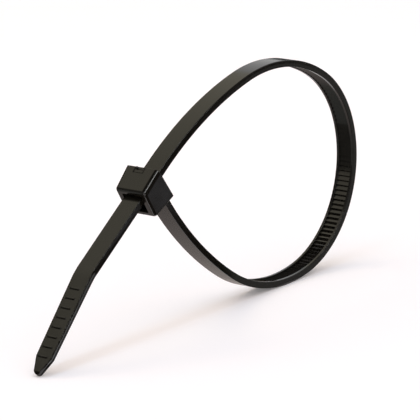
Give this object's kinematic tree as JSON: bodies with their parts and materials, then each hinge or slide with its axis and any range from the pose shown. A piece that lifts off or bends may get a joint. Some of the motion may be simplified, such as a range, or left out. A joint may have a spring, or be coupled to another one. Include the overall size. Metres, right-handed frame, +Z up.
{
  "type": "cable tie",
  "caption": "Self-locking nylon cable tie, closed in a wide loop: a toothed strap leaves a tapered head, passes back through its slot and ends in a bent, ridged tail.",
  "frame": {"origin": "centre of the underside of the bounding box: the floor under the standing tie, halfway between the far end of the loop and the tip of the tail", "axes": "+X from the tail to the far end of the loop, Y along the width of the strap and the axis of the loop, +Z up"},
  "size_m": [0.1146, 0.009, 0.0534],
  "materials": {
    "black_nylon": "moulded black nylon, satin to glossy"
  },
  "bodies": {
    "root": {"cable_tie": "black_nylon"}
  },
  "joints": []
}
